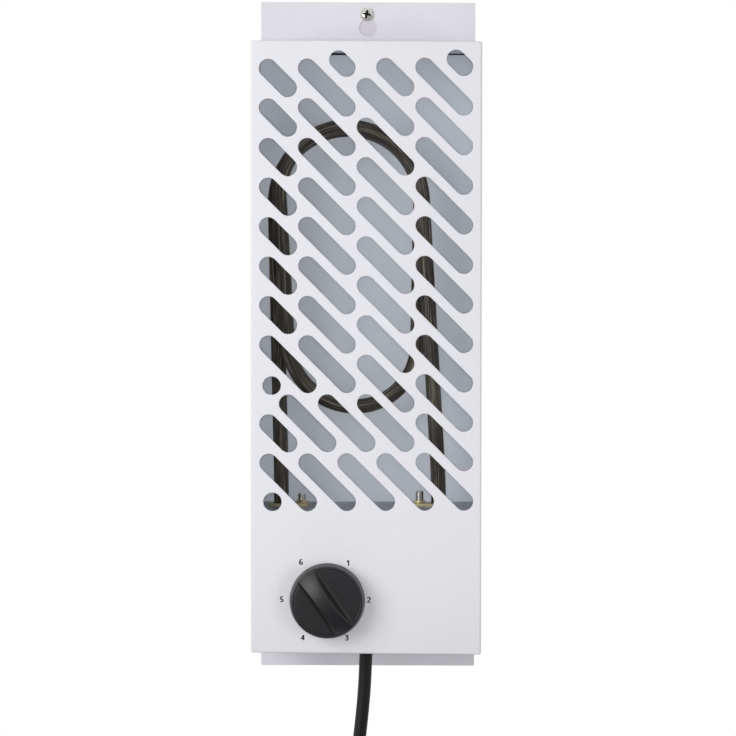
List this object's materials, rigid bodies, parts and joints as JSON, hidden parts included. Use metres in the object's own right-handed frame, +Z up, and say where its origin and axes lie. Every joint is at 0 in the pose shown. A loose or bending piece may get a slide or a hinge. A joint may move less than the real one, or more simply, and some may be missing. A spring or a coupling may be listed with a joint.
{
  "type": "frost protection heater",
  "caption": "Wall-mounted frost protection heater: narrow white sheet-metal case with a slanted slot grille over a looped tubular element, a dial thermostat below and a mains cord with plug.",
  "frame": {"origin": "centre of the keyhole's round hole, on the wall plane at the back of the wall plate", "axes": "+Z up along the wall, +Y into the wall, so the slotted front faces -Y and +X is to the right as seen from the front"},
  "size_m": [0.1411, 0.118, 0.6104],
  "materials": {
    "white_coat": "white powder coat on folded sheet steel",
    "plate_coat": "white powder coat on flat sheet steel",
    "zinc_sheet": "zinc-plated sheet steel",
    "bright_steel": "bright zinc-plated steel",
    "element_sheath": "heat-oxidised steel tube",
    "bead_ceramic": "unglazed ceramic",
    "yellow_zinc": "yellow-passivated zinc on steel",
    "nut_brass": "turned brass",
    "tab_brass": "stamped brass",
    "copper": "drawn copper",
    "switch_black": "moulded phenolic",
    "knob_black": "matte moulded plastic",
    "block_white": "moulded nylon",
    "gland_black": "moulded nylon",
    "wire_brown": "insulated wire",
    "wire_blue": "insulated wire",
    "wire_black": "insulated wire",
    "wire_green_yellow": "insulated wire",
    "cord_black": "smooth rubber sheath",
    "tie_black": "woven hook-and-loop strap",
    "plug_black": "moulded rubber",
    "pin_nickel": "nickel-plated brass"
  },
  "bodies": {
    "case": {"front_cover": "white_coat", "wall_plate": "plate_coat", "element_shelf": "zinc_sheet", "hanging_screw": "bright_steel", "cover_screws": "bright_steel", "heating_element": "element_sheath", "element_beads": "bead_ceramic", "element_pins": "bright_steel", "element_flanges": "yellow_zinc", "flange_studs": "bright_steel", "flange_nuts": "nut_brass", "thermostat_bracket": "zinc_sheet", "thermostat_body": "switch_black", "thermostat_tabs": "tab_brass", "thermostat_screws": "bright_steel", "capillary_tube": "copper", "sensing_bulb": "copper", "bulb_clips": "zinc_sheet", "thermal_cutout": "switch_black", "cutout_tabs": "tab_brass", "cutout_screws": "bright_steel", "terminal_block": "block_white", "terminal_inserts": "tab_brass", "clamp_screws": "bright_steel", "block_screw": "bright_steel", "earth_stud": "bright_steel", "earth_ring": "tab_brass", "earth_nut": "nut_brass", "cable_gland": "gland_black", "supply_live": "wire_brown", "supply_neutral": "wire_blue", "supply_earth": "wire_green_yellow", "live_wire": "wire_brown", "thermostat_wire": "wire_black", "cutout_wire": "wire_black", "neutral_wire": "wire_blue", "earth_wire": "wire_green_yellow", "mains_cord": "cord_black", "cord_coil": "cord_black", "coil_tie": "tie_black", "mains_plug": "plug_black", "plug_pins": "pin_nickel", "plug_earth_strips": "pin_nickel"},
    "dial": {"control_knob": "knob_black", "thermostat_spindle": "bright_steel", "knob_spring": "bright_steel"}
  },
  "joints": [
    {"name": "dial_turn", "type": "hinge", "parent": "case", "child": "dial", "pos_m": [-0.0216, -0.08, -0.3301], "axis": [0, 1, 0], "range_deg": [-295, 5]}
  ]
}
